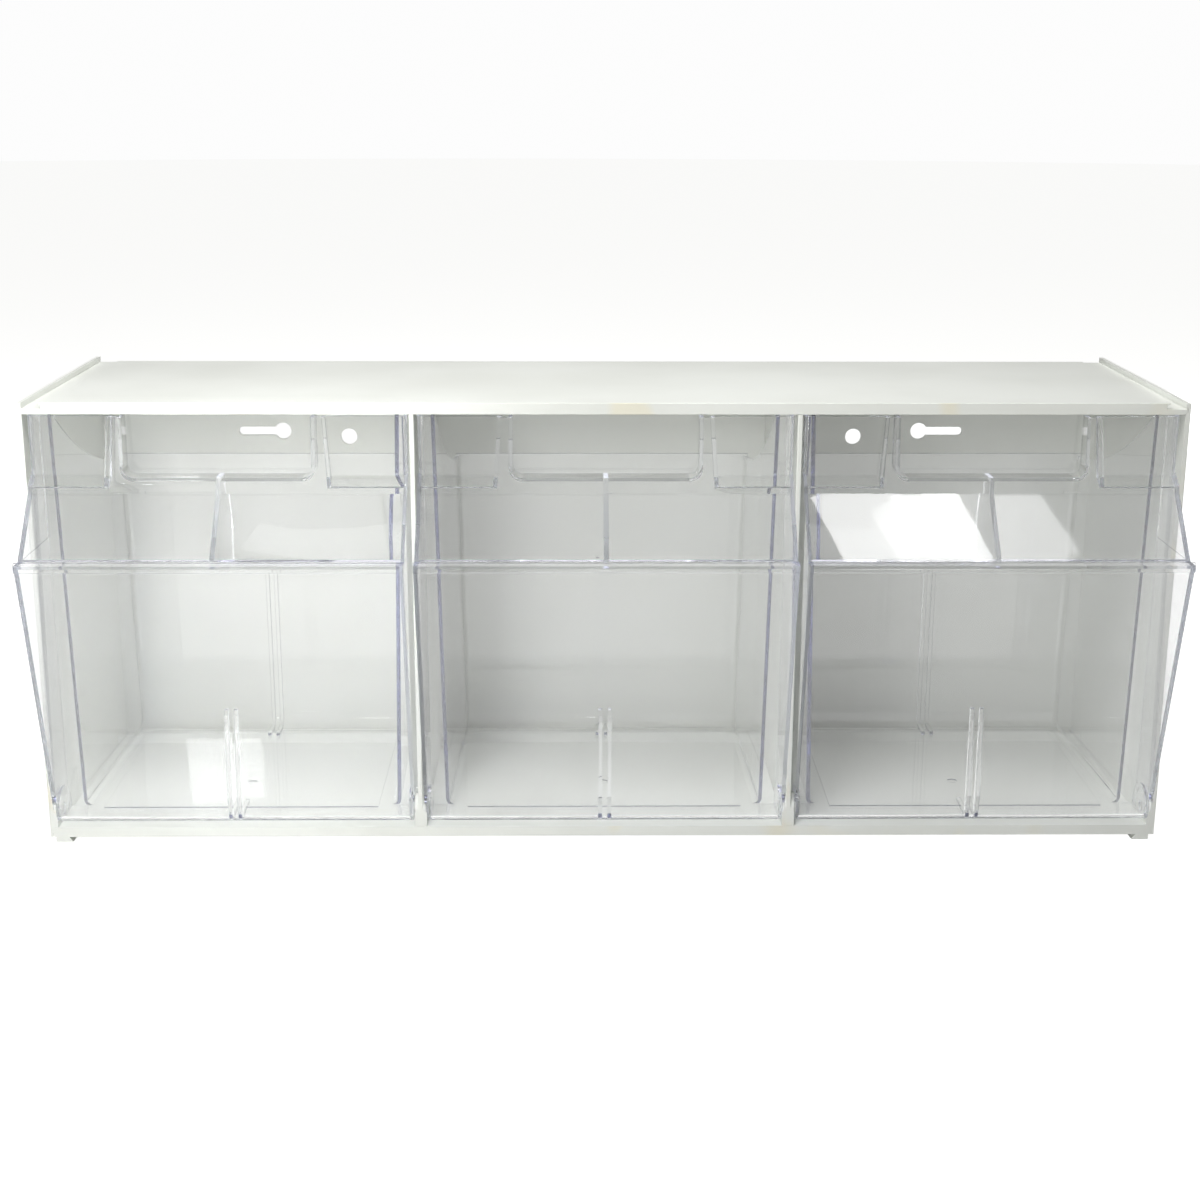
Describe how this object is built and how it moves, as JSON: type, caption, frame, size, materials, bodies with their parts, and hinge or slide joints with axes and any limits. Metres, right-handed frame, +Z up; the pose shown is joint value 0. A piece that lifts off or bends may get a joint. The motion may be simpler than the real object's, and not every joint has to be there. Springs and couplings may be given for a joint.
{
  "type": "tilt-out bin organizer",
  "caption": "Open white housing with a row of clear flared bins, each tipping forward on two moulded pins near its foot; a hooded front carries a finger pocket and a label band.",
  "frame": {"origin": "middle of the box round the whole organizer, on the surface it stands on", "axes": "+X along the row of bins to the viewer's right, +Y from the front to the back, +Z up; the bins open towards -Y"},
  "size_m": [0.6, 0.197, 0.241],
  "materials": {
    "white_styrene": "satin, moulded",
    "clear_styrene": "polished, clear with a faint lavender edge tint"
  },
  "bodies": {
    "housing": {"left_end_wall": "white_styrene", "right_end_wall": "white_styrene", "left_partition": "white_styrene", "right_partition": "white_styrene", "top_panel": "white_styrene", "base_panel": "white_styrene", "back_panel": "white_styrene"},
    "left_bin": {"left_tub": "clear_styrene", "left_hood": "clear_styrene"},
    "middle_bin": {"middle_tub": "clear_styrene", "middle_hood": "clear_styrene"},
    "right_bin": {"right_tub": "clear_styrene", "right_hood": "clear_styrene"}
  },
  "joints": [
    {"name": "left_bin_tilt", "type": "hinge", "parent": "housing", "child": "left_bin", "pos_m": [-0.19917, -0.0535, 0.0175], "axis": [1, 0, 0], "range_deg": [0, 40.6]},
    {"name": "middle_bin_tilt", "type": "hinge", "parent": "housing", "child": "middle_bin", "pos_m": [0, -0.0535, 0.0175], "axis": [1, 0, 0], "range_deg": [0, 40.6]},
    {"name": "right_bin_tilt", "type": "hinge", "parent": "housing", "child": "right_bin", "pos_m": [0.19917, -0.0535, 0.0175], "axis": [1, 0, 0], "range_deg": [0, 40.6]}
  ]
}
